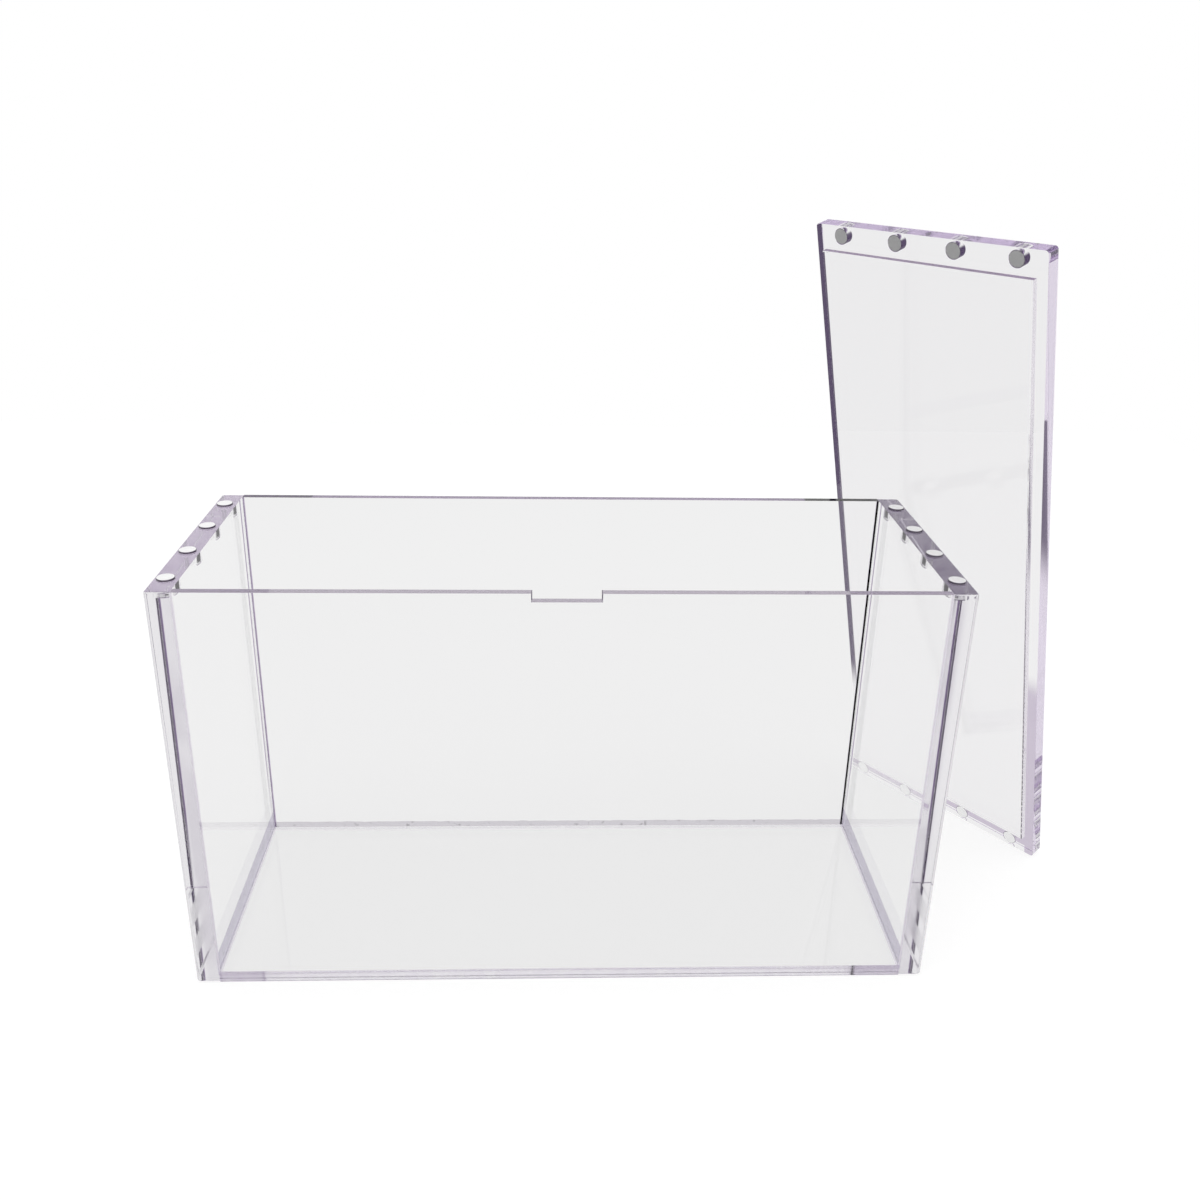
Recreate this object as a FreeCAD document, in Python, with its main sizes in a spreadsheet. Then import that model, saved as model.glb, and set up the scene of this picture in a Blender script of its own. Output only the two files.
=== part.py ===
import FreeCAD, Part
import Sketcher
import math
import os

# Clear acrylic display case for one booster box, with a loose magnetic lid.
# Millimetres, +Z up. The origin is the centre of the case's underside, the front faces -Y.
# The lid stands on the ground behind the case, on its right end, and leans on the case's corner.

# Driving dimensions, one per row of the sheet
DIMENSIONS = {
    # the case
    "case_width": 222.0,
    "case_depth": 80.0,
    "case_height": 128.5,
    "wall_thickness": 7.0,
    "panel_thickness": 2.5,
    "base_thickness": 2.5,
    "wall_corner_radius": 1.2,
    "wall_edge_radius": 0.5,
    "notch_width": 18.5,
    "notch_drop": 2.5,
    # the lid
    "lid_thickness": 4.8,
    "lid_corner_radius": 1.0,
    "lid_edge_radius": 0.4,
    "locating_thickness": 2.0,
    "locating_chamfer": 0.3,
    # the magnets, which meet face to face when the lid is on
    "magnet_diameter": 5.0,
    "magnet_height": 4.0,
    "magnet_edge_radius": 0.2,
    "magnet_end_margin": 9.5,
    "magnet_edge_distance": 3.3,
    "magnet_stand": 0.5,
    # clearances
    "cement_line": 0.05,
    "magnet_clearance": 0.05,
    "lid_clearance": 0.8,
    "lean_clearance": 0.3,
    # where the lid stands: its foot behind the corner, the corner's place across it, its turn
    "lid_foot_distance": 35.0,
    "lid_corner_offset": 28.7,
    "lid_turn_degrees": 36.6,
}
MAGNETS_PER_ROW = 4

SHEET = "sizes"
UPRIGHT = FreeCAD.Vector(0, 0, 1)
# the length of a sheet that is cemented between the side walls
BETWEEN_WALLS = "case_width - 2 * wall_thickness - 2 * cement_line"

doc = FreeCAD.newDocument("acrylic_display_case")
sheet = doc.addObject("Spreadsheet::Sheet", SHEET)
for row, (alias, value) in enumerate(DIMENSIONS.items(), start=1):
    sheet.set(f"A{row}", alias)
    sheet.set(f"B{row}", str(value))
    sheet.setAlias(f"B{row}", alias)
doc.recompute()

sub_parts = []


def size(alias):
    """The value of one cell of the sheet."""
    return float(sheet.get(alias))


def cells(text):
    """An expression in which each word that names a cell points at the sheet."""
    return " ".join(f"{SHEET}.{word}" if word in DIMENSIONS else word for word in text.split())


def add_body(label):
    body = doc.addObject("PartDesign::Body", label)
    body.Label = label
    sub_parts.append(body)
    return body


def add_sketch(body, name, plane_role):
    """An empty sketch on one of the body's own origin planes."""
    plane = next(f for f in body.Origin.OriginFeatures if f.Role == plane_role)
    sketch = body.newObject("Sketcher::SketchObject", name)
    sketch.AttachmentSupport = [(plane, "")]
    sketch.MapMode = "FlatFace"
    return sketch


def constrain(sketch, name, expression, kind, *references):
    """A dimension of the sketch that follows the sheet."""
    index = sketch.addConstraint(Sketcher.Constraint(kind, *references, 1.0))
    sketch.renameConstraint(index, name)
    sketch.setExpression(f"Constraints.{name}", cells(expression))


def draw_rectangle(sketch, width, height, centred=False, bottom=None):
    """A rectangle about the vertical axis: centred, at `bottom`, or else on the horizontal axis."""
    corners = [FreeCAD.Vector(x, y, 0) for x, y in ((-1, 1), (1, 1), (1, 2), (-1, 2))]
    for start, end in zip(corners, corners[1:] + corners[:1]):
        sketch.addGeometry(Part.LineSegment(start, end))
    for line in range(4):
        sketch.addConstraint(Sketcher.Constraint("Coincident", line, 2, (line + 1) % 4, 1))
        sketch.addConstraint(Sketcher.Constraint("Horizontal" if line % 2 == 0 else "Vertical", line))
    if centred:
        sketch.addConstraint(Sketcher.Constraint("Symmetric", 0, 1, 2, 1, -1, 1))
    else:
        constrain(sketch, "left", f"( {width} ) / 2", "DistanceX", 0, 1, -1, 1)
        if bottom:
            constrain(sketch, "bottom", bottom, "DistanceY", -1, 1, 0, 1)
        else:
            sketch.addConstraint(Sketcher.Constraint("PointOnObject", 0, 1, -1))
    constrain(sketch, "width", width, "DistanceX", 0, 1, 0, 2)
    constrain(sketch, "height", height, "DistanceY", 1, 1, 1, 2)


def pad(body, sketch, name, length):
    feature = body.newObject("PartDesign::Pad", name)
    feature.Profile = sketch
    feature.setExpression("Length", cells(length))
    doc.recompute()
    return feature


def pocket(body, sketch, name, length, reversed_cut=False):
    """A cut into the solid; it has to take material away."""
    before = body.Shape.Volume
    feature = body.newObject("PartDesign::Pocket", name)
    feature.Profile = sketch
    feature.setExpression("Length", cells(length))
    feature.Reversed = reversed_cut
    doc.recompute()
    if body.Shape.Volume >= before:
        raise RuntimeError(f"{body.Label}: {name} cuts nothing")
    return feature


def edge_names(shape, chosen):
    """The names of the edges that `chosen` accepts."""
    return [f"Edge{i}" for i, edge in enumerate(shape.Edges, start=1) if chosen(edge)]


def round_edges(body, name, base, chosen, radius):
    """Fillets the edges of `base` that `chosen` accepts."""
    feature = body.newObject("PartDesign::Fillet", name)
    feature.Base = (base, edge_names(base.Shape, chosen))
    feature.setExpression("Radius", cells(radius))
    doc.recompute()
    return feature


def lies_at(edge, axis, value):
    """True where both ends of an edge have this coordinate."""
    return all(abs(getattr(vertex.Point, axis) - value) < 1e-6 for vertex in edge.Vertexes)


def repeat_along_depth(body, feature, sketch, name):
    """Copies a magnet pocket along the depth of the case, evenly between the end margins."""
    pattern = body.newObject("PartDesign::LinearPattern", name)
    pattern.Originals = [feature]
    pattern.Direction = (sketch, ["V_Axis"])
    pattern.setExpression("Length", cells("case_depth - 2 * magnet_end_margin"))
    pattern.Occurrences = MAGNETS_PER_ROW
    body.Tip = pattern
    doc.recompute()


def magnet_row_places():
    """The places of a row's magnets along the depth, front to back."""
    span = size("case_depth") - 2 * size("magnet_end_margin")
    return [-span / 2 + index * span / (MAGNETS_PER_ROW - 1) for index in range(MAGNETS_PER_ROW)]


def draw_magnet_circles(sketch, centres):
    """Circles for magnet pockets at the front end of a row, one for each centre's distance across."""
    front_end = "case_depth / 2 - magnet_end_margin"
    for index, centre in enumerate(centres):
        side = -1 if centre.startswith("-") else 1
        circle = sketch.addGeometry(Part.Circle(FreeCAD.Vector(side, -1, 0), UPRIGHT, 0.5))
        across = centre.lstrip("- ")
        ends = (-1, 1, circle, 3) if side > 0 else (circle, 3, -1, 1)
        constrain(sketch, f"across_{index}", across, "DistanceX", *ends)
        constrain(sketch, f"front_{index}", front_end, "DistanceY", circle, 3, -1, 1)
        constrain(sketch, f"bore_{index}", "magnet_diameter + 2 * magnet_clearance", "Diameter", circle)


def make_side_wall(label, side):
    """A thick sheet, full depth and height; its outer side is rounded, and magnets stand in its top."""
    body = add_body(label)
    outline = add_sketch(body, f"{label}_outline", "YZ_Plane")
    draw_rectangle(outline, "case_depth", "case_height")
    wall = pad(body, outline, f"{label}_sheet", "wall_thickness")
    outer_face = size("wall_thickness") if side > 0 else 0.0
    top_face = size("case_height")
    corners = round_edges(
        body, f"{label}_corners", wall,
        lambda edge: lies_at(edge, "x", outer_face) and not lies_at(edge, "z", 0.0)
        and not lies_at(edge, "z", top_face), "wall_corner_radius")
    body.Tip = round_edges(
        body, f"{label}_eased", corners,
        lambda edge: lies_at(edge, "x", outer_face)
        and (lies_at(edge, "z", 0.0) or lies_at(edge, "z", top_face)), "wall_edge_radius")

    top = add_sketch(body, f"{label}_top", "XY_Plane")
    top.setExpression("AttachmentOffset.Base.z", cells("case_height"))
    centre = "wall_thickness - magnet_edge_distance" if side > 0 else "magnet_edge_distance"
    draw_magnet_circles(top, [centre])
    hole = pocket(body, top, f"{label}_pocket", "magnet_height + cement_line - magnet_stand")
    repeat_along_depth(body, hole, top, f"{label}_pockets")

    inner_face = "case_width / 2 - wall_thickness" if side > 0 else "-1 * case_width / 2"
    body.setExpression("Placement.Base.x", cells(inner_face))


def make_panel(label, side, notched):
    """A thin sheet between the side walls, flush with their front or back edges."""
    body = add_body(label)
    outline = add_sketch(body, f"{label}_outline", "XZ_Plane")
    draw_rectangle(outline, BETWEEN_WALLS, "case_height")
    pad(body, outline, f"{label}_sheet", "panel_thickness")
    if notched:
        gap = add_sketch(body, f"{label}_gap", "XZ_Plane")
        draw_rectangle(gap, "notch_width", "2 * notch_drop", bottom="case_height - notch_drop")
        pocket(body, gap, f"{label}_notch", "panel_thickness", reversed_cut=True)
    # the sheet grows towards the front from its sketch
    back_face = "case_depth / 2" if side > 0 else "panel_thickness - case_depth / 2"
    body.setExpression("Placement.Base.y", cells(back_face))


def make_base():
    """A thin sheet on the ground, inside the walls and the panels."""
    base = doc.addObject("Part::Box", "base_panel")
    base.Label = "base_panel"
    base.setExpression("Length", cells(BETWEEN_WALLS))
    base.setExpression("Width", cells("case_depth - 2 * panel_thickness - 2 * cement_line"))
    base.setExpression("Height", cells("base_thickness"))
    base.setExpression("Placement.Base.x", cells("wall_thickness + cement_line - case_width / 2"))
    base.setExpression("Placement.Base.y", cells("panel_thickness + cement_line - case_depth / 2"))
    sub_parts.append(base)


def make_magnet(label, placement):
    """A plated disc with eased rims, its free face at the top."""
    body = add_body(label)
    outline = add_sketch(body, f"{label}_outline", "XY_Plane")
    circle = outline.addGeometry(Part.Circle(FreeCAD.Vector(0, 0, 0), UPRIGHT, 1.0))
    outline.addConstraint(Sketcher.Constraint("Coincident", circle, 3, -1, 1))
    constrain(outline, "disc", "magnet_diameter", "Diameter", circle)
    disc = pad(body, outline, f"{label}_disc", "magnet_height")
    disc.Reversed = True
    doc.recompute()
    body.Tip = round_edges(
        body, f"{label}_rims", disc,
        lambda edge: edge.isClosed(), "magnet_edge_radius")
    body.Placement = placement


def lid_placement():
    """The lid's frame, centred on its underside, standing on its right end and leaning on the corner."""
    turn = math.radians(size("lid_turn_degrees"))
    away = FreeCAD.Vector(math.cos(turn), math.sin(turn), 0)
    across = FreeCAD.Vector(math.sin(turn), -math.cos(turn), 0)
    corner = FreeCAD.Vector(size("case_width") / 2, size("case_depth") / 2, 0)

    # the face of the locating plate passes the corner at the clearance
    reach = size("locating_thickness") + size("cement_line") + size("lean_clearance")
    height = size("case_height")
    distance = size("lid_foot_distance")
    lean = math.acos(reach / math.hypot(distance, height)) - math.atan2(height, distance)
    along = UPRIGHT * math.cos(lean) - away * math.sin(lean)
    normal = away * math.cos(lean) + UPRIGHT * math.sin(lean)

    foot = corner + away * distance - across * size("lid_corner_offset")
    centre = foot + along * (size("case_width") / 2) + across * (size("case_depth") / 2)
    rotation = FreeCAD.Rotation(-along, -across, normal, "XYZ")
    return FreeCAD.Placement(centre, rotation)


def make_lid_plate(lid):
    """The thick plate of the lid, with a row of magnet pockets in its underside at each end."""
    body = add_body("lid_plate")
    outline = add_sketch(body, "lid_plate_outline", "XY_Plane")
    draw_rectangle(outline, "case_width", "case_depth", centred=True)
    plate = pad(body, outline, "lid_plate_sheet", "lid_thickness")
    top = size("lid_thickness")
    corners = round_edges(
        body, "lid_plate_corners", plate,
        lambda edge: not lies_at(edge, "z", 0.0) and not lies_at(edge, "z", top), "lid_corner_radius")
    body.Tip = round_edges(
        body, "lid_plate_eased", corners,
        lambda edge: lies_at(edge, "z", top), "lid_edge_radius")

    underside = add_sketch(body, "lid_plate_underside", "XY_Plane")
    centre = "case_width / 2 - magnet_edge_distance"
    draw_magnet_circles(underside, [centre, f"- {centre}"])
    hole = pocket(body, underside, "lid_plate_pocket", "magnet_height + cement_line", reversed_cut=True)
    repeat_along_depth(body, hole, underside, "lid_plate_pockets")
    body.Placement = lid


def make_locating_plate(lid):
    """The thin plate under the lid, which drops inside the walls and the panels."""
    body = add_body("lid_locating_plate")
    outline = add_sketch(body, "lid_locating_plate_outline", "XY_Plane")
    draw_rectangle(
        outline,
        "case_width - 2 * wall_thickness - 2 * lid_clearance",
        "case_depth - 2 * panel_thickness - 2 * lid_clearance",
        centred=True)
    sheet_pad = pad(body, outline, "lid_locating_plate_sheet", "locating_thickness")
    sheet_pad.Reversed = True
    doc.recompute()
    lower_face = -size("locating_thickness")
    rim = edge_names(sheet_pad.Shape, lambda edge: lies_at(edge, "z", lower_face))
    chamfer = body.newObject("PartDesign::Chamfer", "lid_locating_plate_rim")
    chamfer.Base = (sheet_pad, rim)
    chamfer.setExpression("Size", cells("locating_chamfer"))
    body.Tip = chamfer
    doc.recompute()
    below = FreeCAD.Vector(0, 0, -size("cement_line"))
    body.Placement = lid.multiply(FreeCAD.Placement(below, FreeCAD.Rotation()))


def make_magnet_rows(lid):
    """Four rows of magnets: one stands in the top of each wall, one is flush in each end of the lid."""
    row_distance = size("case_width") / 2 - size("magnet_edge_distance")
    wall_row_height = size("case_height") + size("magnet_stand")
    face_down = FreeCAD.Rotation(FreeCAD.Vector(1, 0, 0), 180)
    for name, side in (("left", -1), ("right", 1)):
        for index, place in enumerate(magnet_row_places(), start=1):
            on_wall = FreeCAD.Vector(side * row_distance, place, wall_row_height)
            make_magnet(f"{name}_wall_magnet_{index}", FreeCAD.Placement(on_wall, FreeCAD.Rotation()))
            in_lid = FreeCAD.Placement(FreeCAD.Vector(side * row_distance, place, 0), face_down)
            make_magnet(f"lid_{name}_magnet_{index}", lid.multiply(in_lid))


def check_model():
    """Every object is sound, and every sub-part is one valid solid."""
    for item in doc.Objects:
        if "Invalid" in item.State or "Error" in item.State:
            raise RuntimeError(f"{item.Label} failed: {item.State}")
    for item in sub_parts:
        shape = item.Shape
        if shape.isNull() or not shape.isValid() or len(shape.Solids) != 1:
            raise RuntimeError(f"{item.Label} is not one valid solid")


lid_frame = lid_placement()
make_side_wall("left_side_wall", -1)
make_side_wall("right_side_wall", 1)
make_panel("front_panel", -1, notched=True)
make_panel("back_panel", 1, notched=False)
make_base()
make_lid_plate(lid_frame)
make_locating_plate(lid_frame)
make_magnet_rows(lid_frame)
doc.recompute()
check_model()

os.makedirs("parts", exist_ok=True)
for item in sub_parts:
    item.Shape.exportStep(f"parts/{item.Label}.step")
print(f"{len(sub_parts)} sub-parts written")
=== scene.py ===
import math
import random

import bmesh
import bpy
from mathutils import Matrix, Vector


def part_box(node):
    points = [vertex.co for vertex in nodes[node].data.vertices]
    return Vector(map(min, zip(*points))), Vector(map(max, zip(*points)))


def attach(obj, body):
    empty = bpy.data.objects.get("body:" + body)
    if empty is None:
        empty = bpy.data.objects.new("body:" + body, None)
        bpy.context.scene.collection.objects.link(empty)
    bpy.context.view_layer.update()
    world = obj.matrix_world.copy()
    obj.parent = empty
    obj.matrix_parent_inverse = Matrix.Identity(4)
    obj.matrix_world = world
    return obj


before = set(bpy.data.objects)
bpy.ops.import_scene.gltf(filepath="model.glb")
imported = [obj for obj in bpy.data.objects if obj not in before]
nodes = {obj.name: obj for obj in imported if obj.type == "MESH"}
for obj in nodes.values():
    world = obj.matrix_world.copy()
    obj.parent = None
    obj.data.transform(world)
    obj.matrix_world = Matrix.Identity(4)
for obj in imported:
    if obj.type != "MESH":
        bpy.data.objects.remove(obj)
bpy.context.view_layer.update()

# A clear acrylic display case with its magnetic lid leaning on a back corner, on a white studio table.
# Metres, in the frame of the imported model: +Z up, the front faces -Y.

# The camera: a view fitted to the corners of the case and the lid, in the 1200 pixel picture
PICTURE_SIZE = 1200.0
FOCAL_PIXELS = 1155.32
OPTICAL_CENTRE = (595.0, 570.0)
CAMERA_PLACE = Vector((-0.004893, -0.320592, 0.250341))
CAMERA_YAW = math.radians(2.4746)
CAMERA_PITCH = math.radians(22.2665)
CAMERA_ROLL = math.radians(1.1632)
SENSOR_WIDTH = 36.0

# Acrylic: how it bends light, the colour that its depth leaves, and how much its faces reflect head on
ACRYLIC_IOR = 1.49
DEPTH_COLOUR = (0.77, 0.66, 0.85, 1.0)
FACE_GLARE = (0.12, 0.12, 0.12, 1.0)
FACE_TINT = 0.99

# Hairlines on the polished faces, and fine marks on the cut edges
HAIRLINE_STRETCH = (40, 900, 60)
HAIRLINE_RANGE = (0.68, 0.74)
HAIRLINE_ROUGHNESS = 0.05
CUT_MARK_SCALE = 900.0

# Magnet pockets: how far the drilled wall lies outside the magnet, and how rough it is
POCKET_SKIN = 0.00008
POCKET_ROUGHNESS = 0.05

# The rounded upright edges at the walls' outer back corners: how far they reach, their painted dark shade,
# how dull they are, and how weakly the painted shade starts at the foot before the height at which it is full
CORNER_REACH = 0.0007
CORNER_SHADE = (0.08, 0.045, 0.13, 1.0)
CORNER_ROUGHNESS = 0.35
CORNER_AT_FOOT = 0.3
CORNER_FADE = 0.03

# The walls' sawn front edges: their depth, their painted shade towards the outside and the inside, how softly
# these meet, how close the broad patches of shade lie, and how much shade is left between the patches
FRONT_EDGE_DEPTH = 0.0010
FRONT_EDGE_SHADE_OUTSIDE = (0.84, 0.83, 0.85, 1.0)
FRONT_EDGE_SHADE_INSIDE = (0.56, 0.53, 0.59, 1.0)
FRONT_EDGE_BLEND = 0.0010
FRONT_EDGE_SCALE = 45.0
FRONT_EDGE_RANGE = (0.35, 0.65)
FRONT_EDGE_LEAST = 0.4

# Painted shade beside the cut sides of the finger notch: how wide its lines look, and its colour
NOTCH_MARK = 0.0003
NOTCH_SHADE = (0.16, 0.14, 0.18, 1.0)

# The edges that the sheets stand on, up to this height, carry a painted shadow of the table
FOOT_HEIGHT = 0.0002

# Painted shadow bands on the inner faces above the base: how far their top wanders,
# and the specks in them
BAND_SKIN = 0.0001
BAND_WANDER = 0.0003
BAND_SCALE = 300.0
BAND_ROUGHNESS = 0.15
SPECK_SCALE = 500.0
SPECK_RANGE = (0.60, 0.72)
SPECK_SHADE = 0.45

# The lid's margin, outside the locating plate: painted shade beyond this distance from its middle,
# and for this depth beyond the plate's end
MARGIN_START = 0.029
MARGIN_FADE = 0.010
MARGIN_DEPTH = 0.0045
MARGIN_SKIN = 0.0001
MARGIN_SHADE = (0.46, 0.38, 0.52, 1.0)

# Magnets: the shine of their ends, with painted shade on one row, the glue on their sides with painted light
# in front and painted shade, and how far below the middle the painted dark shade begins
PLATING_SHINE = 0.92
PLATING_IN_SHADE = 0.36
PLATING_MOTTLE = 0.04
PLATING_ROUGHNESS = (0.16, 0.30)
MOTTLE_SCALE = 1500.0
PEEL_SCALE = 6000.0
PEEL_STRENGTH = 0.08
PEEL_HEIGHT = 0.0001
GLUE_DARKER = (0.46, 0.43, 0.49, 1.0)
GLUE_LIGHTER = (0.62, 0.59, 0.65, 1.0)
SIDE_LIGHT_IN_FRONT = 0.92
INNER_SIDE_SHADE = (0.02, 0.015, 0.025, 1.0)
SHADE_START = 0.0016
SHADE_FULL = 0.0010
ABOVE_WALL_SHADE = (0.16, 0.14, 0.17, 1.0)
RIM_SHADE = (0.12, 0.10, 0.14, 1.0)

# Cement seams: how far the cement soaks into the thin sheet and stays inside the joint's ends,
# how its rims wander, its colour, and the voids in it
SEAM_SOAK = 0.0003
SEAM_INSET = 0.00002
SEAM_STEP = 0.0015
SEAM_WANDER = 0.0003
SEAM_DENSITY = 2400.0
SEAM_COLOUR = (0.22, 0.08, 0.34, 1.0)
SEAM_TINT = (0.96, 0.95, 0.97, 1.0)
VOID_TINT = 0.99
VOID_ROUGHNESS = 0.1
VOID_SCALE = 420.0
VOID_RANGE = (0.50, 0.62)

# The dark flag, which only light turned inside a sheet sees: where it fades in on the table, towards
# the right and the back, and in which directions it stands in the room, and its top
DARK_FLAG = (0.10, 0.07, 0.14, 1.0)
FLAG_RIGHT = (0.19, 0.225)
FLAG_BACK = (-0.01, 0.05)
ROOM_FLAG_RIGHT = (0.45, 0.8)
ROOM_FLAG_BACK = (-0.4, -0.1)
ROOM_FLAG_TOP = (0.3, 0.7)

# The studio: white to the eye, pale grey behind and in the acrylic
WHITE = (1.0, 1.0, 1.0, 1.0)
TABLE_WIDTH = 1.0
TABLE_FRONT = -0.5
TABLE_BACK = 0.6
TABLE_GAP = 0.0001
TABLE_MATT_SEEN = 0.25
TABLE_MATT_THROUGH = 0.08
TABLE_LIT = 0.60
LEVEL_SEEN = 1.0
LEVEL_THROUGH = 0.86
LEVEL_LIGHTING = 0.60
# What plain reflections see of the room and of the table, and what light turned inside a sheet sees
MIRRORED_ROOM = 1.0
MIRRORED_TABLE = 0.87
LEVEL_INSIDE = 0.88

# The softbox: its width, depth, height above the table and power
SOFTBOX_WIDTH = 0.9
SOFTBOX_DEPTH = 0.6
SOFTBOX_HEIGHT = 0.9
SOFTBOX_POWER = 3.05

# Light passes many faces inside the sheets, so its paths are long
MOST_BOUNCES = 128

MAGNETS = [name for name in nodes if "magnet" in name]
MAGNETS_PER_ROW = 4
POCKETS = {
    "left_side_wall": [name for name in MAGNETS if name.startswith("left_wall")],
    "right_side_wall": [name for name in MAGNETS if name.startswith("right_wall")],
    "lid_plate": [name for name in MAGNETS if name.startswith("lid")],
}


class Tree:
    """Adds nodes to one node tree. An input is a plain value or another node's output."""

    def __init__(self, owner):
        owner.use_nodes = True
        self.tree = owner.node_tree
        self.tree.nodes.clear()

    def add(self, kind, inputs=None, **settings):
        node = self.tree.nodes.new(kind)
        for name, value in settings.items():
            setattr(node, name, value)
        for name, value in (inputs or {}).items():
            self.put(node.inputs[name], value)
        return node

    def put(self, socket, value):
        if isinstance(value, bpy.types.NodeSocket):
            self.tree.links.new(value, socket)
        else:
            socket.default_value = value

    def math(self, operation, *values, clamp=False):
        node = self.add("ShaderNodeMath", dict(enumerate(values)), operation=operation, use_clamp=clamp)
        return node.outputs[0]

    def vector(self, operation, *values):
        return self.add("ShaderNodeVectorMath", dict(enumerate(values)), operation=operation)

    def step(self, value, start, end):
        """0 below start, 1 above end, smooth between them."""
        inputs = {"Value": value, "From Min": start, "From Max": end}
        node = self.add("ShaderNodeMapRange", inputs, interpolation_type="SMOOTHSTEP")
        return node.outputs["Result"]

    def between(self, factor, first, second):
        """A number that goes from first to second with the factor."""
        inputs = {"Value": factor, "To Min": first, "To Max": second}
        return self.add("ShaderNodeMapRange", inputs).outputs["Result"]

    def colour(self, factor, first, second):
        """A colour that goes from first to second with the factor."""
        node = self.add("ShaderNodeMix", data_type="RGBA")
        for socket, value in zip((node.inputs[0], node.inputs[6], node.inputs[7]), (factor, first, second)):
            self.put(socket, value)
        return node.outputs[2]

    def noise(self, place, scale, detail=2.0):
        inputs = {"Vector": place, "Scale": scale, "Detail": detail}
        return self.add("ShaderNodeTexNoise", inputs).outputs["Fac"]

    def surface(self, shader, volume=None):
        inputs = {"Surface": shader}
        if volume is not None:
            inputs["Volume"] = volume
        return self.add("ShaderNodeOutputMaterial", inputs)


def new_material(name):
    material = bpy.data.materials.new(name)
    return material, Tree(material)


def dress(node, material):
    """Gives a node of the frame one material."""
    for slot in nodes[node].material_slots:
        slot.material = material


def thin_axis(node):
    """The direction through a sheet: the normal of its largest face."""
    largest = max(nodes[node].data.polygons, key=lambda face: face.area)
    return largest.normal.copy()


def middle(node):
    low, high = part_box(node)
    return (low + high) / 2


def grey(value):
    return (value, value, value, 1.0)


def pocket_walls(tree, place, magnets):
    """1 on the drilled walls around these magnets, 0 on the rest of the sheet."""
    drilled = 0.0
    for magnet in magnets:
        axis = thin_axis(magnet)
        centre = middle(magnet)
        corners = [vertex.co - centre for vertex in nodes[magnet].data.vertices]
        half_height = max(corner.dot(axis) for corner in corners)
        radius = max(corner.cross(axis).length for corner in corners)
        offset = tree.vector("SUBTRACT", place, centre).outputs["Vector"]
        around = tree.vector("CROSS_PRODUCT", offset, axis).outputs["Vector"]
        distance = tree.vector("LENGTH", around).outputs["Value"]
        height = tree.math("ABSOLUTE", tree.vector("DOT_PRODUCT", offset, axis).outputs["Value"])
        close = tree.math("LESS_THAN", distance, radius + POCKET_SKIN)
        level = tree.math("LESS_THAN", height, half_height + POCKET_SKIN)
        drilled = tree.math("MAXIMUM", drilled, tree.math("MULTIPLY", close, level))
    return drilled


def painted_shadow_band(tree, node, place, height):
    """1 on the band of painted shadow on a sheet's inner face, 0 elsewhere."""
    base_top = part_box("base_panel")[1].z
    low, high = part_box(node)
    across = min(range(3), key=lambda axis: high[axis] - low[axis])
    inner = low[across] if middle(node)[across] > 0.0 else high[across]
    axes = tree.add("ShaderNodeSeparateXYZ", {0: place}).outputs
    depth = tree.math("ABSOLUTE", tree.math("SUBTRACT", axes[across], inner))
    wander = tree.between(tree.noise(place, BAND_SCALE), -BAND_WANDER, BAND_WANDER)
    below = tree.math("LESS_THAN", tree.math("ADD", axes["Z"], wander), base_top + height)
    above = tree.math("GREATER_THAN", axes["Z"], base_top)
    on_face = tree.math("LESS_THAN", depth, BAND_SKIN)
    return tree.math("MULTIPLY", on_face, tree.math("MULTIPLY", above, below))


def back_corner(tree, node, place):
    """1 on the rounded upright edge at a wall's outer back corner, where painted shade goes, weaker at the
    foot; 0 elsewhere.
    """
    low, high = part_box(node)
    axes = tree.add("ShaderNodeSeparateXYZ", {0: place}).outputs
    outer = tree.math("GREATER_THAN", tree.math("ABSOLUTE", axes["X"]), max(-low.x, high.x) - CORNER_REACH)
    behind = tree.math("GREATER_THAN", axes["Y"], high.y - CORNER_REACH)
    strength = tree.between(tree.step(axes["Z"], 0.0, CORNER_FADE), CORNER_AT_FOOT, 1.0)
    return tree.math("MULTIPLY", strength, tree.math("MULTIPLY", outer, behind))


def front_edge(tree, node, place):
    """1 on a wall's sawn front edge, 0 elsewhere, and the painted shade of the edge, darker towards the
    inside.
    """
    axes = tree.add("ShaderNodeSeparateXYZ", {0: place}).outputs
    on_edge = tree.math("LESS_THAN", axes["Y"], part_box(node)[0].y + FRONT_EDGE_DEPTH)
    halfway = abs(middle(node).x)
    aside = tree.math("ABSOLUTE", axes["X"])
    outer = tree.step(aside, halfway - FRONT_EDGE_BLEND, halfway + FRONT_EDGE_BLEND)
    inner = tree.math("SUBTRACT", 1.0, outer)
    broad = tree.step(tree.noise(place, FRONT_EDGE_SCALE), *FRONT_EDGE_RANGE)
    shaded = tree.math("MULTIPLY", inner, tree.between(broad, FRONT_EDGE_LEAST, 1.0))
    return on_edge, tree.colour(shaded, FRONT_EDGE_SHADE_OUTSIDE, FRONT_EDGE_SHADE_INSIDE)


def notch_sides(tree, place):
    """1 on thin lines of painted shade beside the finger notch, 0 elsewhere. The notch's corners lie below
    the sheet's top.
    """
    low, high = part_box("front_panel")
    cut = [vertex.co for vertex in nodes["front_panel"].data.vertices
           if vertex.co.z > (low.z + high.z) / 2 and abs(vertex.co.x) < high.x / 2]
    half_width = max(corner.x for corner in cut)
    bottom = min(corner.z for corner in cut)
    axes = tree.add("ShaderNodeSeparateXYZ", {0: place}).outputs
    aside = tree.math("ABSOLUTE", tree.math("SUBTRACT", tree.math("ABSOLUTE", axes["X"]), half_width))
    close = tree.math("LESS_THAN", aside, NOTCH_MARK)
    return tree.math("MULTIPLY", close, tree.math("GREATER_THAN", axes["Z"], bottom))


def lid_axes():
    """The lid's middle, the direction to the end that it stands on, and the direction to its right side."""
    ends = [sum((middle(name) for name in MAGNETS if name.startswith(row)), Vector()) / MAGNETS_PER_ROW
            for row in ("lid_left", "lid_right")]
    along = (ends[1] - ends[0]).normalized()
    return (ends[0] + ends[1]) / 2, along, along.cross(thin_axis("lid_plate"))


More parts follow.
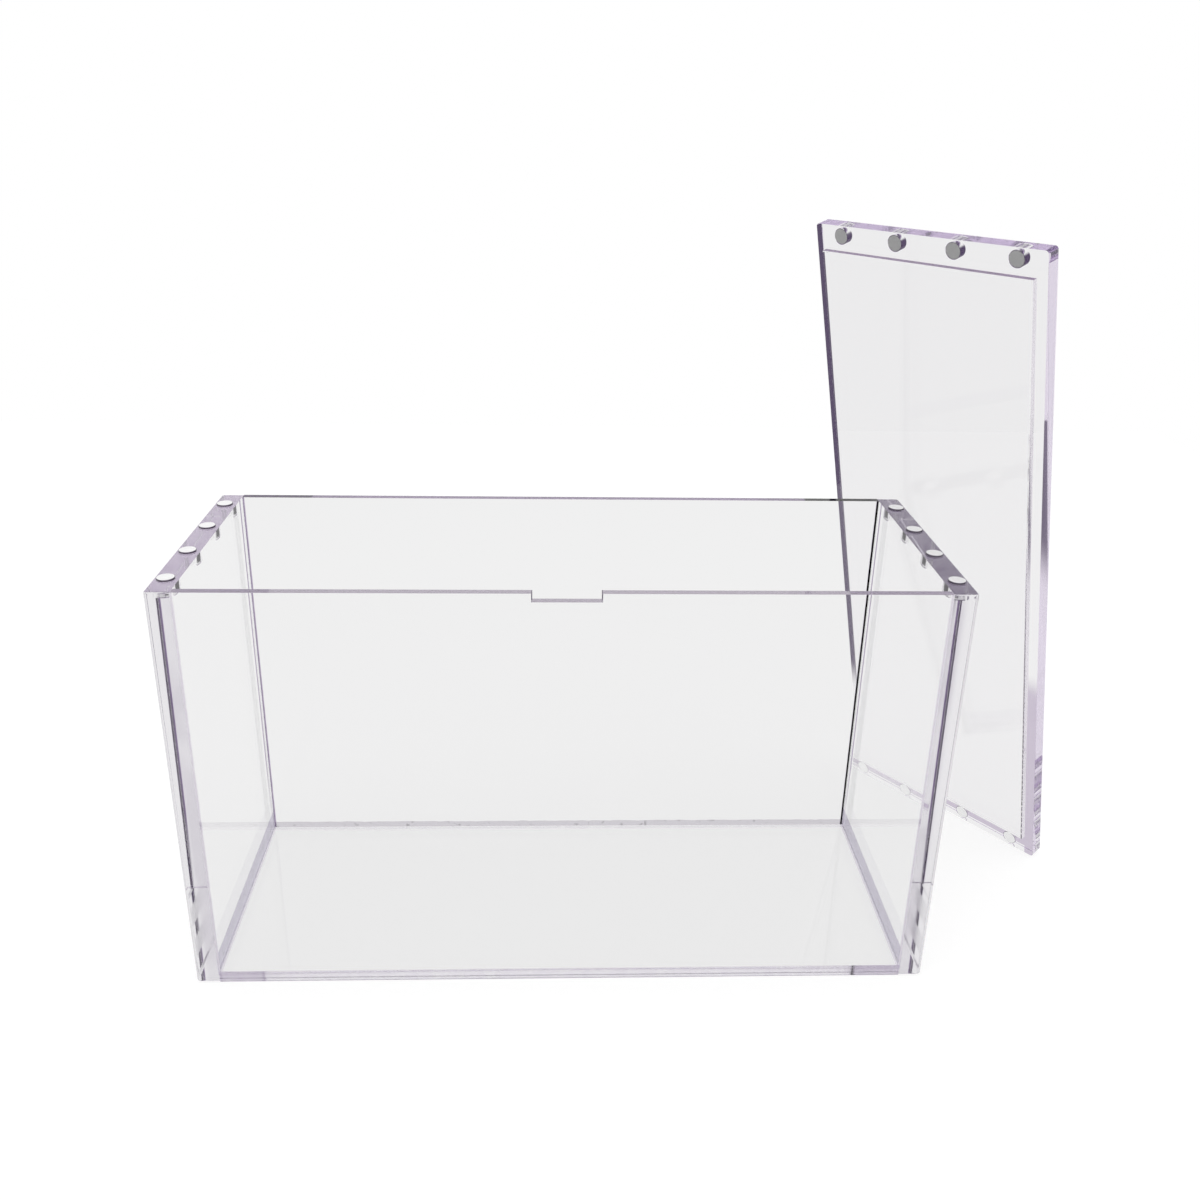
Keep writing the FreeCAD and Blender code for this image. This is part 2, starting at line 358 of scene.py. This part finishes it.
def lid_margin(tree, place):
    """1 on the lid's lower margin, outside the locating plate on the right and at the end, where painted
    shade goes; 0 elsewhere.
    """
    centre, along, across = lid_axes()
    corners = [vertex.co - centre for vertex in nodes["lid_locating_plate"].data.vertices]
    half_length = max(corner.dot(along) for corner in corners)
    half_width = max(corner.dot(across) for corner in corners)
    offset = tree.vector("SUBTRACT", place, centre).outputs["Vector"]
    height = tree.vector("DOT_PRODUCT", offset, along).outputs["Value"]
    width = tree.vector("DOT_PRODUCT", offset, across).outputs["Value"]
    side = tree.math("GREATER_THAN", width, half_width)
    side = tree.math("MULTIPLY", side, tree.step(height, MARGIN_START, MARGIN_START + MARGIN_FADE))
    end = tree.math("GREATER_THAN", height, half_length)
    end = tree.math("MULTIPLY", end, tree.math("LESS_THAN", height, half_length + MARGIN_DEPTH))
    outwards = thin_axis("lid_plate")
    underside = min((vertex.co - centre).dot(outwards) for vertex in nodes["lid_plate"].data.vertices)
    rise = tree.vector("DOT_PRODUCT", offset, outwards).outputs["Value"]
    on_underside = tree.math("LESS_THAN", rise, underside + MARGIN_SKIN)
    return tree.math("MULTIPLY", on_underside, tree.math("MAXIMUM", side, end))


def acrylic(node, density, edge_tint=grey(0.98), edge_roughness=0.03,
            foot_shadow=None, shade_band=None, end_tint=None):
    """Clear cast acrylic: polished faces with hairlines, cut edges with fine marks, lilac in its depth."""
    material, tree = new_material(f"acrylic_{node}")
    coordinates = tree.add("ShaderNodeTexCoord").outputs
    place = coordinates["Object"]
    along = tree.vector("DOT_PRODUCT", coordinates["Normal"], thin_axis(node)).outputs["Value"]
    face = tree.step(tree.math("ABSOLUTE", along), 0.8, 0.95)

    hairlines = tree.noise(tree.vector("MULTIPLY", place, HAIRLINE_STRETCH).outputs["Vector"], 1.0)
    scratched = tree.step(hairlines, *HAIRLINE_RANGE)
    face_roughness = tree.between(scratched, 0.0, HAIRLINE_ROUGHNESS)
    marks = tree.noise(place, CUT_MARK_SCALE, 3.0)
    cut_roughness = tree.between(marks, edge_roughness * 0.5, edge_roughness * 1.5)
    roughness = tree.between(face, cut_roughness, face_roughness)
    tint = tree.colour(face, edge_tint, grey(FACE_TINT))
    if end_tint:
        ends = tree.vector("DOT_PRODUCT", coordinates["Normal"], lid_axes()[1]).outputs["Value"]
        tint = tree.colour(tree.step(tree.math("ABSOLUTE", ends), 0.7, 0.9), tint, end_tint)
    # Painted shade on the lid's lower margin
    if node == "lid_plate":
        tint = tree.colour(lid_margin(tree, place), tint, MARGIN_SHADE)
    # Painted shade beside the notch's cut sides
    if node == "front_panel":
        tint = tree.colour(notch_sides(tree, place), tint, NOTCH_SHADE)
    if node in POCKETS:
        drilled = pocket_walls(tree, place, POCKETS[node])
        roughness = tree.between(drilled, roughness, POCKET_ROUGHNESS)
    if "wall" in node:
        # Painted shade on the walls' front edges, darker towards the inside
        on_edge, edge_shade = front_edge(tree, node, place)
        tint = tree.colour(on_edge, tint, edge_shade)
        # Painted shade along the rounded back corners
        corner = back_corner(tree, node, place)
        tint = tree.colour(corner, tint, CORNER_SHADE)
        roughness = tree.between(corner, roughness, CORNER_ROUGHNESS)
    # Painted shadow of the table on the edge each sheet stands on
    if foot_shadow:
        height = tree.add("ShaderNodeSeparateXYZ", {0: place}).outputs["Z"]
        foot = tree.math("LESS_THAN", height, FOOT_HEIGHT)
        tint = tree.colour(foot, tint, foot_shadow)
    # Painted shadow band above the base, with darker specks in it
    if shade_band:
        band_height, band_shadow_colour = shade_band
        band_mask = painted_shadow_band(tree, node, place, band_height)
        specks = tree.step(tree.noise(place, SPECK_SCALE, 3.0), *SPECK_RANGE)
        spotted = tree.colour(specks, band_shadow_colour, [channel * SPECK_SHADE for channel in band_shadow_colour])
        tint = tree.colour(band_mask, tint, spotted)
        roughness = tree.between(band_mask, roughness, BAND_ROUGHNESS)

    principled = tree.add("ShaderNodeBsdfPrincipled", {
        "Base Color": tint,
        "Roughness": roughness,
        "IOR": ACRYLIC_IOR,
        "Specular Tint": FACE_GLARE,
        "Transmission Weight": 1.0,
    })
    depth = tree.add("ShaderNodeVolumeAbsorption", {"Color": DEPTH_COLOUR, "Density": density})
    tree.surface(principled.outputs[0], depth.outputs[0])
    return material


def nickel(magnet):
    """Nickel ends with a fine orange peel. The side is pale with glue, with painted light where it faces the
    front;
    on a wall it has painted shade inwards and where it stands above the wall."""
    material, tree = new_material(f"nickel_{magnet}")
    coordinates = tree.add("ShaderNodeTexCoord").outputs
    place = coordinates["Object"]
    along = tree.vector("DOT_PRODUCT", coordinates["Normal"], thin_axis(magnet)).outputs["Value"]
    end = tree.step(tree.math("ABSOLUTE", along), 0.9, 0.98)
    rim = tree.step(tree.math("ABSOLUTE", along), 0.1, 0.3)
    facing_front = tree.vector("DOT_PRODUCT", coordinates["Normal"], (0.0, -1.0, 0.0)).outputs["Value"]
    inwards = Vector((-middle(magnet).x, 0.0, 0.0)).normalized()
    inner = tree.step(tree.vector("DOT_PRODUCT", coordinates["Normal"], inwards).outputs["Value"], 0.3, 0.6)
    height = tree.add("ShaderNodeSeparateXYZ", {0: place}).outputs["Z"]
    upper = tree.step(height, middle(magnet).z - SHADE_START, middle(magnet).z - SHADE_FULL)
    mottle = tree.noise(place, MOTTLE_SCALE, 3.0)
    fine = tree.noise(place, PEEL_SCALE, 2.0)
    bump = tree.add("ShaderNodeBump", {"Strength": PEEL_STRENGTH, "Distance": PEEL_HEIGHT, "Height": fine})
    # The lid's left row has painted shade on its ends
    shine = PLATING_IN_SHADE if magnet.startswith("lid_left") else PLATING_SHINE
    plating = tree.colour(mottle, grey(shine * (1 - PLATING_MOTTLE)), grey(shine * (1 + PLATING_MOTTLE)))
    side_glue_light_and_shade = tree.colour(mottle, GLUE_DARKER, GLUE_LIGHTER)
    # Painted light on the side facing the front
    side_glue_light_and_shade = tree.colour(tree.step(facing_front, 0.3, 0.7), side_glue_light_and_shade, grey(SIDE_LIGHT_IN_FRONT))
    # Painted shade on the wall magnets' inward upper side and where they stand above the wall
    if "wall" in magnet:
        side_glue_light_and_shade = tree.colour(tree.math("MULTIPLY", inner, upper), side_glue_light_and_shade, INNER_SIDE_SHADE)
        free = tree.math("GREATER_THAN", height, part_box("back_panel")[1].z)
        side_glue_light_and_shade = tree.colour(free, side_glue_light_and_shade, ABOVE_WALL_SHADE)
    side_glue_light_and_shade = tree.colour(rim, side_glue_light_and_shade, RIM_SHADE)
    principled = tree.add("ShaderNodeBsdfPrincipled", {
        "Base Color": tree.colour(end, side_glue_light_and_shade, plating),
        "Metallic": 1.0,
        "Roughness": tree.between(mottle, *PLATING_ROUGHNESS),
        "Normal": bump.outputs[0],
    })
    tree.surface(principled.outputs[0])
    return material


# The density of a sheet's depth colour, the tint and roughness of its cut edges, the painted shadow at its
# foot or the tint of its ends, and the height and colour of the painted shadow band on its inner face
WALL_SHADOW_BAND = (0.0070, (0.42, 0.38, 0.52, 1.0))
BACK_SHADOW_BAND = (0.0022, (0.53, 0.50, 0.56, 1.0))
SHEETS = {
    "left_side_wall": {"density": 0.8, "foot_shadow": (0.30, 0.22, 0.37, 1.0), "shade_band": WALL_SHADOW_BAND},
    # The right wall's foot carries a much darker painted shadow than the left
    "right_side_wall": {"density": 0.8, "foot_shadow": (0.024, 0.014, 0.040, 1.0), "shade_band": WALL_SHADOW_BAND},
    "front_panel": {
        "density": 1.2, "edge_tint": (0.71, 0.65, 0.73, 1.0), "foot_shadow": (0.36, 0.34, 0.38, 1.0),
    },
    "back_panel": {
        "density": 2.5, "edge_tint": (0.62, 0.56, 0.66, 1.0), "foot_shadow": (0.20, 0.15, 0.25, 1.0),
        "shade_band": BACK_SHADOW_BAND,
    },
    "base_panel": {"density": 1.0, "edge_tint": grey(1.0), "edge_roughness": 0.10},
    "lid_plate": {"density": 8.0},
    "lid_locating_plate": {"density": 3.0, "edge_roughness": 0.1, "end_tint": (0.45, 0.34, 0.50, 1.0)},
}
for name, looks in SHEETS.items():
    dress(name, acrylic(name, **looks))
for name in MAGNETS:
    dress(name, nickel(name))

# Each joint: the wall or panel, the sheet that meets it, and how strong its cement looks
SEAMS = [
    ("left_side_wall", "front_panel", 0.06),
    ("right_side_wall", "front_panel", 0.06),
    ("left_side_wall", "back_panel", 0.25),
    ("right_side_wall", "back_panel", 4.0),
    ("left_side_wall", "base_panel", 0.03),
    ("right_side_wall", "base_panel", 0.04),
    ("front_panel", "base_panel", 0.01),
    ("back_panel", "base_panel", 0.03),
]


def cement(name, strength):
    """Cured solvent cement: nearly clear across the joint, dark mauve along it, with fine voids."""
    material, tree = new_material(name)
    place = tree.add("ShaderNodeTexCoord").outputs["Object"]
    voids = tree.step(tree.noise(place, VOID_SCALE, 4.0), *VOID_RANGE)
    principled = tree.add("ShaderNodeBsdfPrincipled", {
        "Base Color": tree.colour(voids, SEAM_TINT, grey(VOID_TINT)),
        "Roughness": tree.between(voids, 0.0, VOID_ROUGHNESS),
        "IOR": 1.0,
        "Transmission Weight": 1.0,
    })
    depth = tree.add("ShaderNodeVolumeAbsorption", {"Color": SEAM_COLOUR, "Density": SEAM_DENSITY * strength})
    tree.surface(principled.outputs[0], depth.outputs[0])
    return material


def seam_box(first, second):
    """The joint between two sheets: where they overlap, and across the gap a little way into the second."""
    low, high = Vector(), Vector()
    corners = [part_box(first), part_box(second)]
    for axis in range(3):
        start = max(corner[0][axis] for corner in corners)
        end = min(corner[1][axis] for corner in corners)
        low[axis] = min(start, end) + SEAM_INSET
        high[axis] = max(start, end) - SEAM_INSET
        if start > end:
            soaks_up = middle(second)[axis] > middle(first)[axis]
            low[axis] -= 0.0 if soaks_up else SEAM_SOAK
            high[axis] += SEAM_SOAK if soaks_up else 0.0
    return low, high


def film_mesh(name, low, high):
    """A thin slab between two corners; its long rims wander a little, as squeezed cement does."""
    spans = high - low
    thin, short, long = sorted(range(3), key=lambda axis: spans[axis])
    chance = random.Random(name)
    steps = max(2, round(spans[long] / SEAM_STEP))
    corners = []
    for step in range(steps + 1):
        rims = (low[short] + chance.uniform(0, SEAM_WANDER), high[short] - chance.uniform(0, SEAM_WANDER))
        for across, through in ((0, low), (0, high), (1, high), (1, low)):
            corner = Vector()
            corner[long] = low[long] + spans[long] * step / steps
            corner[short] = rims[across]
            corner[thin] = through[thin]
            corners.append(corner)
    faces = [(0, 1, 2, 3), tuple(4 * steps + side for side in range(4))]
    for ring in range(0, 4 * steps, 4):
        for side in range(4):
            beside = (side + 1) % 4
            faces.append((ring + side, ring + beside, ring + 4 + beside, ring + 4 + side))
    mesh = bpy.data.meshes.new(name)
    mesh.from_pydata(corners, [], faces)
    shape = bmesh.new()
    shape.from_mesh(mesh)
    bmesh.ops.recalc_face_normals(shape, faces=shape.faces)
    shape.to_mesh(mesh)
    shape.free()
    return mesh


def make_seams():
    """A film of cement in each joint of the case."""
    for first, second, strength in SEAMS:
        name = f"cement_{first}_{second}"
        mesh = film_mesh(name, *seam_box(first, second))
        mesh.materials.append(cement(name, strength))
        seam = bpy.data.objects.new(name, mesh)
        bpy.context.scene.collection.objects.link(seam)
        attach(seam, "case")


def backdrop_level(tree, mirrored_level):
    """How bright the backdrop is to the eye, as light, through the acrylic and in reflections."""
    path = tree.add("ShaderNodeLightPath").outputs
    mirrored = tree.math("GREATER_THAN", path["Glossy Depth"], 0.5)
    inside = tree.math("MULTIPLY", mirrored, tree.math("GREATER_THAN", path["Transmission Depth"], 0.5))
    lighting = tree.math("GREATER_THAN", path["Diffuse Depth"], 0.5)
    level = tree.between(mirrored, LEVEL_THROUGH, mirrored_level)
    level = tree.between(inside, level, LEVEL_INSIDE)
    level = tree.between(path["Is Camera Ray"], level, LEVEL_SEEN)
    inside = tree.math("SUBTRACT", inside, lighting, clamp=True)
    return tree.between(lighting, level, LEVEL_LIGHTING), path["Is Camera Ray"], inside


def make_table():
    """White to the eye and pale through the acrylic, with a matt share that keeps the shadow."""
    half = TABLE_WIDTH / 2
    outline = ((-half, TABLE_FRONT), (half, TABLE_FRONT), (half, TABLE_BACK), (-half, TABLE_BACK))
    mesh = bpy.data.meshes.new("table")
    mesh.from_pydata([(x, y, -TABLE_GAP) for x, y in outline], [], [(0, 1, 2, 3)])
    table = bpy.data.objects.new("table", mesh)
    bpy.context.scene.collection.objects.link(table)
    material, tree = new_material("white_table")
    level, camera_ray, inside = backdrop_level(tree, MIRRORED_TABLE)
    place = tree.add("ShaderNodeTexCoord").outputs["Object"]
    axes = tree.add("ShaderNodeSeparateXYZ", {0: place}).outputs
    flag = tree.math("MULTIPLY", tree.step(axes["X"], *FLAG_RIGHT), tree.step(axes["Y"], *FLAG_BACK))
    flagged = tree.math("MULTIPLY", inside, flag)
    share = tree.between(camera_ray, TABLE_MATT_THROUGH, TABLE_MATT_SEEN)
    matt = tree.add("ShaderNodeBsdfDiffuse", {"Color": share})
    lit = tree.math("MULTIPLY", share, TABLE_LIT)
    glow = tree.add("ShaderNodeEmission", {
        "Color": tree.colour(flagged, WHITE, DARK_FLAG), "Strength": tree.math("SUBTRACT", level, lit)})
    seen = tree.add("ShaderNodeAddShader", {0: matt.outputs[0], 1: glow.outputs[0]})
    tree.surface(seen.outputs[0])
    mesh.materials.append(material)


def make_world():
    """White behind the object and overhead; a dark flag on the right, not in front, defines the edges."""
    world = bpy.data.worlds.new("studio")
    bpy.context.scene.world = world
    tree = Tree(world)
    direction = tree.add("ShaderNodeTexCoord").outputs["Generated"]
    axes = tree.add("ShaderNodeSeparateXYZ", {0: direction}).outputs
    level, _, inside = backdrop_level(tree, MIRRORED_ROOM)
    below_top = tree.math("SUBTRACT", 1.0, tree.step(axes["Z"], *ROOM_FLAG_TOP))
    right = tree.step(axes["X"], *ROOM_FLAG_RIGHT)
    aside = tree.math("MULTIPLY", right, tree.step(axes["Y"], *ROOM_FLAG_BACK))
    flag = tree.math("MULTIPLY", aside, below_top)
    flagged = tree.math("MULTIPLY", flag, inside)
    background = tree.add("ShaderNodeBackground", {
        "Color": tree.colour(flagged, WHITE, DARK_FLAG), "Strength": level})
    tree.add("ShaderNodeOutputWorld", {"Surface": background.outputs[0]})


def make_softbox():
    """A wide soft lamp overhead."""
    lamp = bpy.data.lights.new("softbox", "AREA")
    lamp.shape = "RECTANGLE"
    lamp.size = SOFTBOX_WIDTH
    lamp.size_y = SOFTBOX_DEPTH
    lamp.energy = SOFTBOX_POWER
    softbox = bpy.data.objects.new("softbox", lamp)
    softbox.location = (0.0, 0.0, SOFTBOX_HEIGHT)
    softbox.visible_camera = False
    softbox.visible_transmission = False
    bpy.context.scene.collection.objects.link(softbox)


def make_camera():
    """The fitted camera, turned by its yaw, pitch and roll."""
    data = bpy.data.cameras.new("camera")
    data.sensor_width = SENSOR_WIDTH
    data.lens = FOCAL_PIXELS / PICTURE_SIZE * SENSOR_WIDTH
    data.shift_x = (PICTURE_SIZE / 2 - OPTICAL_CENTRE[0]) / PICTURE_SIZE
    data.shift_y = (OPTICAL_CENTRE[1] - PICTURE_SIZE / 2) / PICTURE_SIZE
    data.clip_start = 0.01
    data.clip_end = 50.0
    ahead = Vector((
        math.sin(CAMERA_YAW) * math.cos(CAMERA_PITCH),
        math.cos(CAMERA_YAW) * math.cos(CAMERA_PITCH),
        -math.sin(CAMERA_PITCH)))
    level = Vector((math.cos(CAMERA_YAW), -math.sin(CAMERA_YAW), 0.0))
    above = level.cross(ahead)
    right = level * math.cos(CAMERA_ROLL) + above * math.sin(CAMERA_ROLL)
    up = above * math.cos(CAMERA_ROLL) - level * math.sin(CAMERA_ROLL)
    turn = Matrix((right, up, -ahead)).transposed().to_4x4()
    camera = bpy.data.objects.new("camera", data)
    camera.matrix_world = Matrix.Translation(CAMERA_PLACE) @ turn
    bpy.context.scene.collection.objects.link(camera)
    bpy.context.scene.camera = camera


make_seams()
make_table()
make_world()
make_softbox()
make_camera()

scene = bpy.context.scene
scene.view_settings.view_transform = "Standard"
scene.cycles.max_bounces = MOST_BOUNCES
scene.cycles.transmission_bounces = MOST_BOUNCES
scene.cycles.glossy_bounces = MOST_BOUNCES
